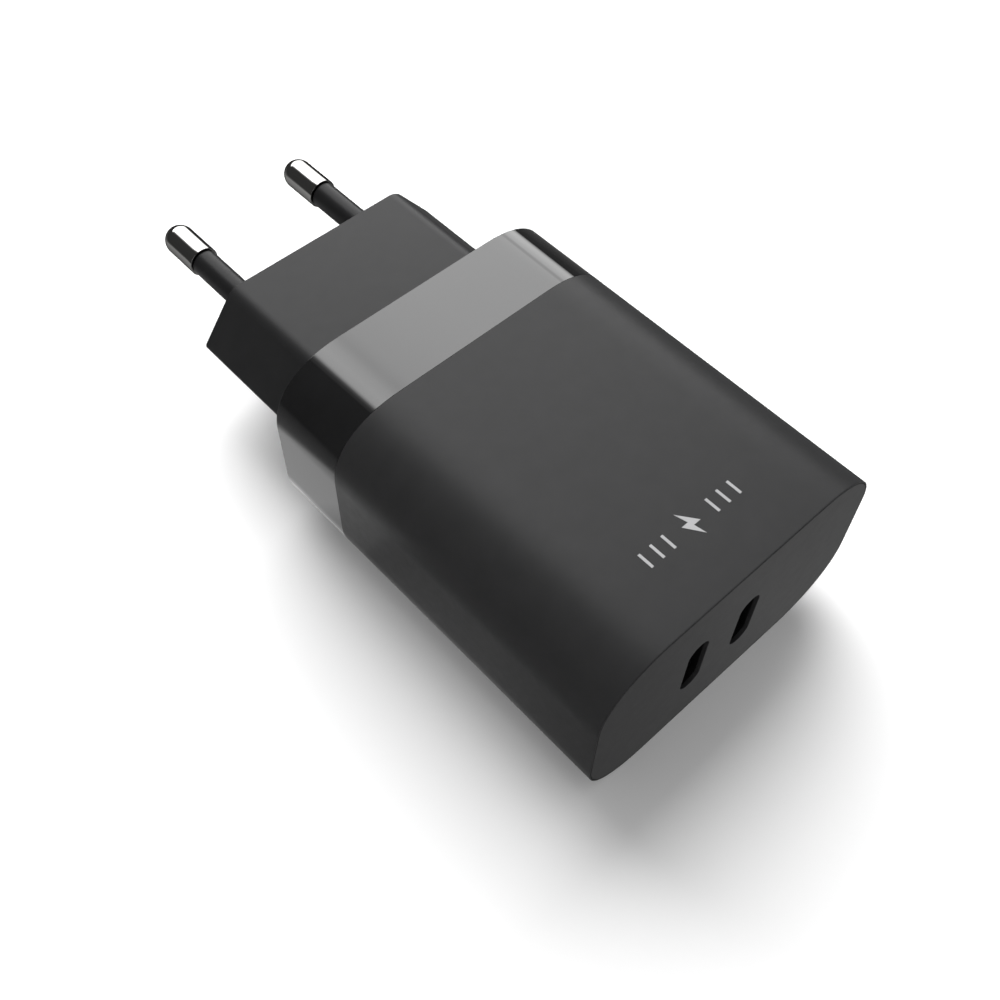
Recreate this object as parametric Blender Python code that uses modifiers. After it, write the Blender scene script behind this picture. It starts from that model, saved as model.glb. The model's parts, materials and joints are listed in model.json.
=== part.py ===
"""Two-port USB-C wall charger with a two-pin Europlug, built as separate pieces.

Frame: +X across the two pins, +Y towards the plug, +Z up from the wide underside, which lies on
Z = 0. The origin is under the middle of the whole charger, pins included. Units are metres.
"""

import math

import bmesh
import bpy
from mathutils import Matrix, Vector

MM = 0.001

# Driving dimensions
BODY_WIDTH = 40.5 * MM
BODY_HEIGHT = 24.3 * MM
CORNER_ACROSS = 9.5 * MM
CORNER_UP = 8.1 * MM
CORNER_FULLNESS = 2.25
CORNER_STEPS = 12
FRONT_Y = -43.6 * MM
SEAM_Y = -4.3 * MM
COLLAR_END_Y = 5.9 * MM
PLUG_FACE_Y = 24.6 * MM
PIN_TIP_Y = 43.6 * MM
AXIS_Z = BODY_HEIGHT / 2
GAP = 0.3 * MM
WELD = 0.001 * MM

# Shells
WALL = 1.8 * MM
LIP = 0.35 * MM
LIP_DEPTH = 2.4 * MM
SPIGOT_WALL = 0.8 * MM
SPIGOT_LENGTH = 2.2 * MM
COLLAR_WALL = WALL + GAP + SPIGOT_WALL
END_WALL = 2.0 * MM
PANEL_THICKNESS = 2.0 * MM
PANEL_SKIN = 0.9 * MM
SHELL_EDGE = 0.12 * MM

# Europlug block and pins
PLUG_WIDTH = 35.5 * MM
PLUG_HEIGHT = 12.8 * MM
PLUG_FLAT = 25.2 * MM
PLUG_SIDE_ROUND = 0.7 * MM
PLUG_TOP_ROUND = 2.5 * MM
PLUG_EDGE = 0.1 * MM
FLANGE_WIDTH = 33.8 * MM
FLANGE_HEIGHT = 17.4 * MM
FLANGE_THICKNESS = 1.5 * MM
PLUG_POCKET = (27.0 * MM, 9.0 * MM)
POCKET_END_Y = 14.0 * MM
PIN_SPACING = 19.0 * MM
PIN_RADIUS = 2.0 * MM
PIN_STEM_RADIUS = 1.1 * MM
PIN_SHANK_RADIUS = 1.75 * MM
PIN_POST_RADIUS = 0.8 * MM
PIN_BARE_Y = 36.5 * MM
SLEEVE_RADIUS = 1.75 * MM
SLEEVE_BORE = 1.35 * MM
SLEEVE_ROOT_Y = 22.0 * MM
SLEEVE_FLARE = 0.25 * MM

# USB-C ports, whose long way is upright
PORT_X = (-5.6 * MM, 2.2 * MM)
PORT_Z = AXIS_Z - 0.3 * MM
SLOT_WIDTH = 2.95 * MM
SLOT_HEIGHT = 8.9 * MM
SHELL_WIDTH = 3.16 * MM
SHELL_HEIGHT = 8.94 * MM
SHELL_WALL = 0.3 * MM
TONGUE_WIDTH = 0.7 * MM
TONGUE_HEIGHT = 6.6 * MM
SHELL_FRONT_Y = FRONT_Y + PANEL_SKIN + GAP
SHELL_BACK_Y = SHELL_FRONT_Y + 8.4 * MM

# Circuit boards
PORT_BOARD_Y = SHELL_BACK_Y + GAP
PORT_BOARD_THICKNESS = 1.2 * MM
PORT_BOARD_SIZE = (32.0 * MM, 16.0 * MM)
BOARD_THICKNESS = 1.6 * MM
BOARD_BOTTOM_Z = 4.6 * MM
BOARD_WIDTH = 31.6 * MM
BOARD_FRONT_Y = PORT_BOARD_Y + PORT_BOARD_THICKNESS + 1.4 * MM
BOARD_BACK_Y = COLLAR_END_Y - END_WALL - FLANGE_THICKNESS - 2 * GAP
TAB_X = 8.0 * MM
TAB_WIDTH = 5.0 * MM
TAB_REACH = 3.2 * MM
SEAT_Z = BOARD_BOTTOM_Z + BOARD_THICKNESS + GAP

# Power parts, standing on the main board at SEAT_Z
TRANSFORMER_X = 6.0 * MM
TRANSFORMER_Y = -15.5 * MM
CORE_SIZE = (15.6 * MM, 11.0 * MM, 13.4 * MM)
CORE_LEG = 1.8 * MM
CORE_BACK = 2.2 * MM
CORE_CENTRE = 4.6 * MM
BOBBIN_DEPTH = 18.0 * MM
BOBBIN_WALL = 0.7 * MM
BULK_CAPACITOR = (3.7 * MM, 18.0 * MM)
BULK_CAPACITOR_X = -10.6 * MM
BULK_CAPACITOR_Y = -29.0 * MM
OUTPUT_CAPACITOR = (3.0 * MM, 9.0 * MM)
OUTPUT_CAPACITOR_X = (2.5 * MM, 9.5 * MM)
OUTPUT_CAPACITOR_Y = -27.85 * MM
CHIP_X = -4.35 * MM
CHOKE_CENTRE = (-10.3 * MM, -6.6 * MM, SEAT_Z + 4.95 * MM)
CHOKE_RADIUS = 3.2 * MM
CHOKE_SECTION = (1.6 * MM, 2.2 * MM)
CHOKE_WIRE = 0.3 * MM
CHOKE_TURNS = 5

# Directions in which a flat outline is laid: local (x, y) with its thickness along local z
FLAT = Matrix.Identity(4)
FACING_Y = Matrix.Rotation(math.pi / 2, 4, "X")
FACING_X = Matrix(((0, 0, 1, 0), (1, 0, 0, 0), (0, 1, 0, 0), (0, 0, 0, 1)))
ALONG_Y = Matrix.Rotation(-math.pi / 2, 4, "X")
ALONG_X = Matrix.Rotation(math.pi / 2, 4, "Y")


# Scene, materials and modelling helpers


def clear_scene():
    for obj in list(bpy.data.objects):
        bpy.data.objects.remove(obj, do_unlink=True)


def new_collection(name):
    collection = bpy.data.collections.new(name)
    bpy.context.scene.collection.children.link(collection)
    return collection


def surface(name, colour, roughness, metallic=0.0):
    material = bpy.data.materials.new(name)
    material.use_nodes = True
    shader = material.node_tree.nodes["Principled BSDF"]
    shader.inputs["Base Color"].default_value = (*colour, 1.0)
    shader.inputs["Roughness"].default_value = roughness
    shader.inputs["Metallic"].default_value = metallic
    material.diffuse_color = (*colour, 1.0)
    return material


def add_object(name, data, placement, material=None):
    """Links a new object: a piece when it has a material, otherwise a cutter or a helper."""
    obj = bpy.data.objects.new(name, data)
    obj.matrix_world = placement
    if material is None:
        obj.hide_render = True
        obj.display_type = "WIRE"
        CUTTERS.objects.link(obj)
    else:
        data.materials.append(material)
        PIECES.objects.link(obj)
    return obj


def as_mesh(curve_object):
    """Turns a filled curve into a welded mesh object of the same name and place."""
    bpy.context.view_layer.update()
    graph = bpy.context.evaluated_depsgraph_get()
    mesh = bpy.data.meshes.new_from_object(curve_object.evaluated_get(graph))
    shape = bmesh.new()
    shape.from_mesh(mesh)
    bmesh.ops.remove_doubles(shape, verts=shape.verts, dist=WELD)
    bmesh.ops.recalc_face_normals(shape, faces=shape.faces)
    shape.to_mesh(mesh)
    shape.free()
    name = curve_object.name
    placement = curve_object.matrix_world.copy()
    material = curve_object.data.materials[0] if curve_object.data.materials else None
    mesh.materials.clear()
    bpy.data.objects.remove(curve_object, do_unlink=True)
    obj = add_object(name, mesh, placement, material)
    mesh.name = name
    return obj


def plate(name, outlines, span, facing, material=None, edge=0.0, rounds=0):
    """A solid of constant section: filled outlines extruded over a span of the facing axis.

    The first outline is the outside and any others are holes. An edge above 0 eases both rims.
    """
    curve = bpy.data.curves.new(name, "CURVE")
    curve.dimensions = "2D"
    curve.fill_mode = "BOTH"
    curve.extrude = abs(span[1] - span[0]) / 2 - edge
    curve.bevel_depth = edge
    curve.bevel_resolution = rounds
    curve.offset = -edge
    for index, outline in enumerate(outlines):
        points = outline if index == 0 else outline[::-1]
        spline = curve.splines.new("POLY")
        spline.points.add(len(points) - 1)
        for point, (across, up) in zip(spline.points, points):
            point.co = (across, up, 0.0, 1.0)
        spline.use_cyclic_u = True
    middle = (span[0] + span[1]) / 2
    normal = facing.to_3x3() @ Vector((0, 0, 1))
    axis = Vector([abs(value) for value in normal])
    return as_mesh(add_object(name, curve, Matrix.Translation(axis * middle) @ facing, material))


def box(name, size, centre, material=None, edge=0.0):
    mesh = bpy.data.meshes.new(name)
    shape = bmesh.new()
    bmesh.ops.create_cube(shape, size=1.0)
    bmesh.ops.scale(shape, vec=size, verts=shape.verts)
    shape.to_mesh(mesh)
    shape.free()
    obj = add_object(name, mesh, Matrix.Translation(centre), material)
    if edge:
        bevel = obj.modifiers.new("Eased edges", "BEVEL")
        bevel.width = edge
        bevel.segments = 2
    return obj


def turned(name, profile, placement, material, closed=False, steps=24):
    """A lathe shape about local Z. The profile lists (radius, height), down the outer side."""
    mesh = bpy.data.meshes.new(name)
    edges = [(index, index + 1) for index in range(len(profile) - 1)]
    if closed:
        edges.append((len(profile) - 1, 0))
    mesh.from_pydata([(radius, 0.0, height) for radius, height in profile], edges, [])
    obj = add_object(name, mesh, placement, material)
    screw = obj.modifiers.new("Turn", "SCREW")
    screw.axis = "Z"
    screw.steps = steps
    screw.render_steps = steps
    screw.use_merge_vertices = True
    screw.merge_threshold = WELD
    screw.use_smooth_shade = True
    return obj


def cylinder_cutter(name, radius, span, placement, steps=24):
    profile = [(0.0, span[1]), (radius, span[1]), (radius, span[0]), (0.0, span[0])]
    return turned(name, profile, placement, None, steps=steps)


def combine(obj, other, operation):
    boolean = obj.modifiers.new(operation.title() + " " + other.name, "BOOLEAN")
    boolean.operation = operation
    boolean.solver = "EXACT"
    boolean.object = other


# Outlines


def body_section(inset=0.0):
    """The housing's cross-section: flat sides joined by full, super-elliptical corners."""
    half = (BODY_WIDTH / 2 - inset, BODY_HEIGHT / 2 - inset)
    corner = (CORNER_ACROSS - inset, CORNER_UP - inset)
    power = 2 / CORNER_FULLNESS
    points = []
    for quadrant in range(4):
        for step in range(CORNER_STEPS + 1):
            angle = (quadrant + step / CORNER_STEPS) * math.pi / 2
            turn = (math.cos(angle), math.sin(angle))
            side = [1 if quadrant in (0, 3) else -1, 1 if quadrant in (0, 1) else -1]
            bulge = [abs(value) ** power for value in turn]
            points.append(tuple(side[k] * (half[k] - corner[k] + corner[k] * bulge[k]) for k in (0, 1)))
    return points


def rounded_polygon(corners, radius, steps=4):
    """The outline through the corners, each replaced by an arc; radius may list one per corner."""
    radii = radius if isinstance(radius, (list, tuple)) else [radius] * len(corners)
    points = []
    for index, corner in enumerate(corners):
        here = Vector(corner)
        back = (Vector(corners[index - 1]) - here).normalized()
        ahead = (Vector(corners[(index + 1) % len(corners)]) - here).normalized()
        half_angle = back.angle(ahead) / 2
        centre = here + (back + ahead).normalized() * radii[index] / math.sin(half_angle)
        start = here + back * radii[index] / math.tan(half_angle) - centre
        end = here + ahead * radii[index] / math.tan(half_angle) - centre
        swing = start.angle_signed(end)
        for step in range(steps + 1):
            turn = Matrix.Rotation(-swing * step / steps, 2)
            points.append(tuple(centre + turn @ start))
    return points


def rounded_box(width, height, radius, centre=(0.0, 0.0), steps=4):
    across, up = width / 2, height / 2
    signs = ((1, 1), (-1, 1), (-1, -1), (1, -1))
    corners = [(centre[0] + x * across, centre[1] + y * up) for x, y in signs]
    return rounded_polygon(corners, radius, steps)


def stadium(width, height, centre, steps=8):
    return rounded_box(width, height, 0.4999 * min(width, height), centre, steps)


def plug_section(grow=0.0):
    """The Europlug's flat hexagon, with soft shoulders and tighter side points."""
    flat, side, up = PLUG_FLAT / 2 + grow / 2, PLUG_WIDTH / 2 + grow, PLUG_HEIGHT / 2 + grow
    corners = [(side, 0), (flat, up), (-flat, up), (-side, 0), (-flat, -up), (flat, -up)]
    corners = [(x, AXIS_Z + z) for x, z in corners]
    soft, tight = PLUG_TOP_ROUND, PLUG_SIDE_ROUND
    return rounded_polygon(corners, [tight, soft, soft, tight, soft, soft], steps=5)


def lifted_section(inset=0.0):
    return [(x, AXIS_Z + z) for x, z in body_section(inset)]


# Outside pieces


def housing_sleeve(matte):
    """Open tube of the matte housing, thinned to a lip where the front panel drops in."""
    back_y = SEAM_Y - GAP / 2
    outlines = [lifted_section(), lifted_section(WALL)]
    tube = plate("housing_sleeve", outlines, (FRONT_Y, back_y), FACING_Y, matte, SHELL_EDGE)
    mouth_span = (FRONT_Y - GAP, FRONT_Y + LIP_DEPTH)
    mouth = plate("cut_mouth", [lifted_section(LIP)], mouth_span, FACING_Y)
    combine(tube, mouth, "DIFFERENCE")


def front_panel(matte):
    """Flush panel with the two upright USB-C slots, pocketed behind for the receptacles."""
    slots = [stadium(SLOT_WIDTH, SLOT_HEIGHT, (x, PORT_Z)) for x in PORT_X]
    span = (FRONT_Y, FRONT_Y + PANEL_THICKNESS)
    outlines = [lifted_section(LIP + GAP)] + slots
    panel = plate("front_panel", outlines, span, FACING_Y, matte, SHELL_EDGE)
    pocket_span = (FRONT_Y + PANEL_SKIN, FRONT_Y + PANEL_THICKNESS + GAP)
    for number, x in enumerate(PORT_X):
        pocket = stadium(SHELL_WIDTH + 2 * GAP, SHELL_HEIGHT + 2 * GAP, (x, PORT_Z))
        cutter = plate(f"cut_port_pocket_{number}", [pocket], pocket_span, FACING_Y)
        combine(panel, cutter, "DIFFERENCE")


def collar_cover(gloss):
    """Gloss-black end cover around the plug, with a spigot that enters the housing."""
    front_y = SEAM_Y + GAP / 2
    wall_y = COLLAR_END_Y - END_WALL
    outlines = [lifted_section(), plug_section(GAP)]
    cover = plate("collar_cover", outlines, (front_y, COLLAR_END_Y), FACING_Y, gloss, SHELL_EDGE)
    hollow = plate("cut_collar", [lifted_section(COLLAR_WALL)], (front_y - GAP, wall_y), FACING_Y)
    combine(cover, hollow, "DIFFERENCE")
    spigot_outlines = [lifted_section(WALL + GAP), lifted_section(COLLAR_WALL)]
    spigot_span = (front_y - SPIGOT_LENGTH, front_y + 1.0 * MM)
    spigot = plate("add_spigot", spigot_outlines, spigot_span, FACING_Y)
    combine(cover, spigot, "UNION")


def plug_body(matte):
    """Europlug block with a flange inside the cover, a rear pocket and two pin bores."""
    flange_y = COLLAR_END_Y - END_WALL - GAP
    back_y = flange_y - FLANGE_THICKNESS
    block = plate("plug_body", [plug_section()], (back_y, PLUG_FACE_Y), FACING_Y, matte, PLUG_EDGE, 1)
    flange_outline = rounded_box(FLANGE_WIDTH, FLANGE_HEIGHT, 5.0 * MM, (0.0, AXIS_Z))
    flange = plate("add_flange", [flange_outline], (back_y, flange_y), FACING_Y)
    combine(block, flange, "UNION")
    pocket_outline = rounded_box(*PLUG_POCKET, 1.5 * MM, (0.0, AXIS_Z))
    pocket_span = (back_y - GAP, POCKET_END_Y)
    combine(block, plate("cut_plug_pocket", [pocket_outline], pocket_span, FACING_Y), "DIFFERENCE")
    for side in (-1, 1):
        place = Matrix.Translation((side * PIN_SPACING / 2, 0.0, AXIS_Z)) @ ALONG_Y
        span = (POCKET_END_Y - 1.0 * MM, PLUG_FACE_Y + 1.0 * MM)
        bore = cylinder_cutter(f"cut_pin_bore_{side + 1}", SLEEVE_RADIUS + GAP, span, place)
        combine(block, bore, "DIFFERENCE")


def pin_profile():
    """Bare domed tip, thin stem under the sleeve, moulded-in shank and solder post."""
    dome_steps = 6
    dome_y = PIN_TIP_Y - PIN_RADIUS
    profile = []
    for step in range(dome_steps + 1):
        angle = step / dome_steps * math.pi / 2
        profile.append((PIN_RADIUS * math.sin(angle), dome_y + PIN_RADIUS * math.cos(angle)))
    shank_top = SLEEVE_ROOT_Y - GAP
    profile += [(PIN_RADIUS, PIN_BARE_Y + GAP / 2), (PIN_STEM_RADIUS, PIN_BARE_Y + GAP / 2)]
    profile += [(PIN_STEM_RADIUS, shank_top), (PIN_SHANK_RADIUS, shank_top)]
    profile += [(PIN_SHANK_RADIUS, POCKET_END_Y), (PIN_POST_RADIUS, POCKET_END_Y)]
    profile += [(PIN_POST_RADIUS, 5.0 * MM), (0.0, 5.0 * MM)]
    return profile


def sleeve_profile():
    """Insulating sleeve with a small flare where it leaves the plug face."""
    top = PIN_BARE_Y - GAP / 2
    flare_y = PLUG_FACE_Y + GAP
    return [
        (SLEEVE_RADIUS, top),
        (SLEEVE_RADIUS, flare_y + SLEEVE_FLARE),
        (SLEEVE_RADIUS + SLEEVE_FLARE, flare_y),
        (SLEEVE_RADIUS, flare_y),
        (SLEEVE_RADIUS, SLEEVE_ROOT_Y),
        (SLEEVE_BORE, SLEEVE_ROOT_Y),
        (SLEEVE_BORE, top),
    ]


def pins_and_sleeves(nickel, insulation):
    for name, side in (("left", -1), ("right", 1)):
        place = Matrix.Translation((side * PIN_SPACING / 2, 0.0, AXIS_Z)) @ ALONG_Y
        turned(f"pin_{name}", pin_profile(), place, nickel)
        turned(f"pin_sleeve_{name}", sleeve_profile(), place, insulation, closed=True)


def pin_contacts(brass):
    """Bent strips from above each pin post, down behind the flange, to a foot on the board."""
    strip = 0.4 * MM
    leaf_z = AXIS_Z + PIN_POST_RADIUS + GAP
    leg_y = BOARD_BACK_Y - 0.6 * MM
    corners = [
        (9.5 * MM, leaf_z),
        (9.5 * MM, leaf_z + strip),
        (leg_y, leaf_z + strip),
        (leg_y, SEAT_Z + strip),
        (leg_y - 1.2 * MM, SEAT_Z + strip),
        (leg_y - 1.2 * MM, SEAT_Z),
        (leg_y + strip, SEAT_Z),
        (leg_y + strip, leaf_z),
    ]
    for name, side in (("left", -1), ("right", 1)):
        x = side * PIN_SPACING / 2
        plate(f"contact_{name}", [corners], (x - 1.2 * MM, x + 1.2 * MM), FACING_X, brass)


# USB-C ports and boards


def usb_ports(steel, black_nylon):
    block_front_y = SHELL_BACK_Y - 2.6 * MM
    inside = (SHELL_WIDTH - 2 * SHELL_WALL, SHELL_HEIGHT - 2 * SHELL_WALL)
    for name, x in zip(("left", "right"), PORT_X):
        centre = (x, PORT_Z)
        outlines = [stadium(SHELL_WIDTH, SHELL_HEIGHT, centre), stadium(*inside, centre)]
        plate(f"usb_shell_{name}", outlines, (SHELL_FRONT_Y, SHELL_BACK_Y), FACING_Y, steel)
        block_outline = stadium(inside[0] - 2 * GAP, inside[1] - 2 * GAP, centre)
        block_span = (block_front_y, SHELL_BACK_Y)
        insert = plate(f"usb_tongue_{name}", [block_outline], block_span, FACING_Y, black_nylon)
        tongue_front_y = SHELL_FRONT_Y + 0.6 * MM
        length = block_front_y + 1.0 * MM - tongue_front_y
        middle = (x, tongue_front_y + length / 2, PORT_Z)
        tongue = box(f"add_tongue_{name}", (TONGUE_WIDTH, length, TONGUE_HEIGHT), middle)
        combine(insert, tongue, "UNION")


def port_board(laminate):
    """Upright board behind the receptacles, slotted for the main board's two tabs."""
    width, height = PORT_BOARD_SIZE
    outline = rounded_box(width, height, 3.0 * MM, (0.0, AXIS_Z))
    slot_size = (TAB_WIDTH + 2 * GAP, BOARD_THICKNESS + 2 * GAP)
    slot_z = BOARD_BOTTOM_Z + BOARD_THICKNESS / 2
    slots = [rounded_box(*slot_size, 0.2 * MM, (side * TAB_X, slot_z), 2) for side in (-1, 1)]
    span = (PORT_BOARD_Y, PORT_BOARD_Y + PORT_BOARD_THICKNESS)
    plate("port_board", [outline] + slots, span, FACING_Y, laminate)


def main_board(laminate):
    """Mains board with two front tabs and an isolation slot between its two sides."""
    side, tab = BOARD_WIDTH / 2, TAB_WIDTH / 2
    tab_y = BOARD_FRONT_Y - TAB_REACH
    corners = [(side, BOARD_FRONT_Y), (side, BOARD_BACK_Y), (-side, BOARD_BACK_Y), (-side, BOARD_FRONT_Y)]
    for x in (-TAB_X, TAB_X):
        corners += [(x - tab, BOARD_FRONT_Y), (x - tab, tab_y), (x + tab, tab_y), (x + tab, BOARD_FRONT_Y)]
    isolation = stadium(9.0 * MM, 1.2 * MM, (-6.5 * MM, -22.6 * MM), 4)
    outlines = [rounded_polygon(corners, 0.3 * MM, 2), isolation]
    span = (BOARD_BOTTOM_Z, BOARD_BOTTOM_Z + BOARD_THICKNESS)
    plate("main_board", outlines, span, FLAT, laminate)


def insulation_sheet(film):
    middle_y = (BOARD_FRONT_Y + BOARD_BACK_Y) / 2
    length = BOARD_BACK_Y - BOARD_FRONT_Y
    outline = rounded_box(29.0 * MM, length, 1.5 * MM, (0.0, middle_y))
    top = BOARD_BOTTOM_Z - GAP
    plate("insulation_sheet", [outline], (top - 0.4 * MM, top), FLAT, film)


# Power parts on the main board


def transformer_core(ferrite):
    """Two facing E-shaped ferrite halves."""
    half, post = CORE_SIZE[0] / 2, CORE_CENTRE / 2
    bottom, top = SEAT_Z, SEAT_Z + CORE_SIZE[2]
    middle = (bottom + top) / 2
    span = (TRANSFORMER_Y - CORE_SIZE[1] / 2, TRANSFORMER_Y + CORE_SIZE[1] / 2)
    for name, base, direction in (("lower", bottom, 1), ("upper", top, -1)):
        web_z = base + direction * CORE_BACK
        end_z = middle - direction * GAP / 2
        right = [(half, base), (half, end_z), (half - CORE_LEG, end_z), (half - CORE_LEG, web_z)]
        right += [(post, web_z), (post, end_z)]
        outline = right + [(-x, z) for x, z in reversed(right)]
        outline = [(TRANSFORMER_X + x, z) for x, z in outline]
        plate(f"transformer_core_{name}", [outline], span, FACING_Y, ferrite)


def transformer_coil_former(nylon, tape):
    """Bobbin around the centre leg, and the taped winding between its flanges."""
    centre = (TRANSFORMER_X, TRANSFORMER_Y)
    bore = (CORE_CENTRE + 2 * GAP, CORE_SIZE[1] + 2 * GAP)
    tube = (bore[0] + 2 * BOBBIN_WALL, bore[1] + 2 * BOBBIN_WALL)
    window = (CORE_SIZE[0] / 2 - CORE_LEG) * 2
    flange = (window - 2 * GAP, BOBBIN_DEPTH)
    low = SEAT_Z + CORE_BACK + GAP
    high = SEAT_Z + CORE_SIZE[2] - CORE_BACK - GAP
    hole = rounded_box(*bore, 0.3 * MM, centre, 2)
    outside = rounded_box(*flange, 1.0 * MM, centre)
    bobbin = plate("transformer_bobbin", [outside, hole], (low, high), FLAT, nylon)
    winding_span = (low + BOBBIN_WALL, high - BOBBIN_WALL)
    around = rounded_box(flange[0] + 2 * GAP, flange[1] + 2 * GAP, 1.2 * MM, centre)
    channel = plate("cut_bobbin", [around, rounded_box(*tube, 0.8 * MM, centre)], winding_span, FLAT)
    combine(bobbin, channel, "DIFFERENCE")
    outer = rounded_box(flange[0] - 0.6 * MM, flange[1] - 0.8 * MM, 2.0 * MM, centre)
    inner = rounded_box(tube[0] + 2 * GAP, tube[1] + 2 * GAP, 0.9 * MM, centre)
    span = (winding_span[0] + GAP, winding_span[1] - GAP)
    plate("transformer_winding", [outer, inner], span, FLAT, tape)


def capacitor_profile(radius, length, vent):
    """Aluminium can with a rolled groove near its base and an eased top."""
    groove = 1.6 * MM
    return [
        (0.0, length - vent),
        (radius - 0.9 * MM, length - vent),
        (radius - 0.5 * MM, length),
        (radius - 0.15 * MM, length),
        (radius, length - 0.4 * MM),
        (radius, groove + 0.5 * MM),
        (radius - 0.35 * MM, groove),
        (radius, groove - 0.5 * MM),
        (radius, 0.2 * MM),
        (radius - 0.3 * MM, 0.0),
        (0.0, 0.0),
    ]


def capacitors(sleeve_film, aluminium):
    """Two lying bulk capacitors, one above the other, and two standing output capacitors."""
    radius, length = BULK_CAPACITOR
    for number in (0, 1):
        z = SEAT_Z + radius + number * (2 * radius + GAP)
        place = Matrix.Translation((BULK_CAPACITOR_X, BULK_CAPACITOR_Y, z)) @ ALONG_Y
        profile = capacitor_profile(radius, length, 0.2 * MM)
        turned(f"bulk_capacitor_{number + 1}", profile, place, sleeve_film, steps=20)
    for number, x in enumerate(OUTPUT_CAPACITOR_X):
        place = Matrix.Translation((x, OUTPUT_CAPACITOR_Y, SEAT_Z))
        profile = capacitor_profile(*OUTPUT_CAPACITOR, 0.15 * MM)
        turned(f"output_capacitor_{number + 1}", profile, place, aluminium, steps=20)


def choke_turns(side):
    """Wire path of one winding: square-cornered turns spread along half of the ring."""
    per_turn = 10
    wire_steps = CHOKE_TURNS * per_turn
    reach = [size / 2 + GAP + CHOKE_WIRE for size in CHOKE_SECTION]
    points = []
    for index in range(wire_steps + 1):
        share = index / wire_steps
        around = math.radians(-70 + 140 * share) + (math.pi if side < 0 else 0.0)
        wrap = 2 * math.pi * CHOKE_TURNS * share
        turn = (math.cos(wrap), math.sin(wrap))
        square = [math.copysign(math.sqrt(abs(value)), value) for value in turn]
        radius = CHOKE_RADIUS + reach[0] * square[0]
        points.append((radius * math.cos(around), radius * math.sin(around), reach[1] * square[1]))
    return points


def common_mode_choke(ferrite, copper):
    place = Matrix.Translation(CHOKE_CENTRE) @ ALONG_Y
    across, along = CHOKE_SECTION[0] / 2, CHOKE_SECTION[1] / 2
    outer, inner = CHOKE_RADIUS + across, CHOKE_RADIUS - across
    ring = [(outer, along), (outer, -along), (inner, -along), (inner, along)]
    turned("choke_core", ring, place, ferrite, closed=True)
    for name, side in (("left", -1), ("right", 1)):
        curve = bpy.data.curves.new(f"choke_winding_{name}", "CURVE")
        curve.dimensions = "3D"
        curve.bevel_depth = CHOKE_WIRE
        curve.bevel_resolution = 1
        curve.use_fill_caps = True
        path = choke_turns(side)
        spline = curve.splines.new("POLY")
        spline.points.add(len(path) - 1)
        for point, position in zip(spline.points, path):
            point.co = (*position, 1.0)
        add_object(f"choke_winding_{name}", curve, place, copper)


def disc_profile(radius, thickness):
    """Dipped disc: flat faces with a rounded rim."""
    rim = thickness / 2
    profile = [(0.0, rim)]
    for step in range(5):
        angle = math.pi / 2 - step * math.pi / 4
        profile.append((radius - rim + rim * math.cos(angle), rim * math.sin(angle)))
    profile.append((0.0, -rim))
    return profile


def mains_input_parts(paint):
    """Fuse, thermistor, X capacitor and bridge rectifier, behind the pins."""
    fuse_place = Matrix.Translation((-13.2 * MM, -1.2 * MM, SEAT_Z))
    fuse = [(0.0, 7.0), (1.4, 7.0), (1.7, 6.7), (1.7, 0.3), (1.4, 0.0), (0.0, 0.0)]
    fuse = [(radius * MM, height * MM) for radius, height in fuse]
    turned("input_fuse", fuse, fuse_place, paint["fuse_brown"], steps=16)
    disc_place = Matrix.Translation((-4.6 * MM, -1.9 * MM, SEAT_Z + 3.6 * MM)) @ ALONG_Y
    turned("thermistor", disc_profile(3.5 * MM, 2.4 * MM), disc_place, paint["disc_green"])
    film_size = (11.8 * MM, 5.3 * MM, 10.0 * MM)
    film_centre = (8.6 * MM, -3.3 * MM, SEAT_Z + film_size[2] / 2)
    box("x_capacitor", film_size, film_centre, paint["film_yellow"], 0.4 * MM)
    bridge_size = (4.2 * MM, 5.4 * MM, 8.0 * MM)
    bridge_centre = (-2.5 * MM, -6.4 * MM, SEAT_Z + bridge_size[2] / 2)
    box("bridge_rectifier", bridge_size, bridge_centre, paint["chip_black"], 0.25 * MM)


def chips_and_coupling(paint):
    """Surface parts in the strip between the bulk capacitors and the transformer."""
    parts = {
        "primary_switch": ((3.6, 5.6, 1.1), -13.6),
        "optocoupler": ((3.6, 4.6, 2.2), -19.4),
        "sync_rectifier": ((3.6, 3.0, 1.1), -29.4),
    }
    for name, (size, y) in parts.items():
        size = [value * MM for value in size]
        centre = (CHIP_X, y * MM, SEAT_Z + size[2] / 2)
        box(name, size, centre, paint["chip_black"], 0.15 * MM)
    disc_place = Matrix.Translation((CHIP_X, -25.0 * MM, SEAT_Z + 3.2 * MM)) @ ALONG_X
    turned("y_capacitor", disc_profile(2.9 * MM, 2.2 * MM), disc_place, paint["disc_blue"])
    controller_size = (4.0 * MM, 0.9 * MM, 4.0 * MM)
    controller_y = PORT_BOARD_Y - GAP - controller_size[1] / 2
    for name, x in (("left", -11.5 * MM), ("right", 8.5 * MM)):
        centre = (x, controller_y, AXIS_Z)
        box(f"pd_controller_{name}", controller_size, centre, paint["chip_black"], 0.12 * MM)


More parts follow.
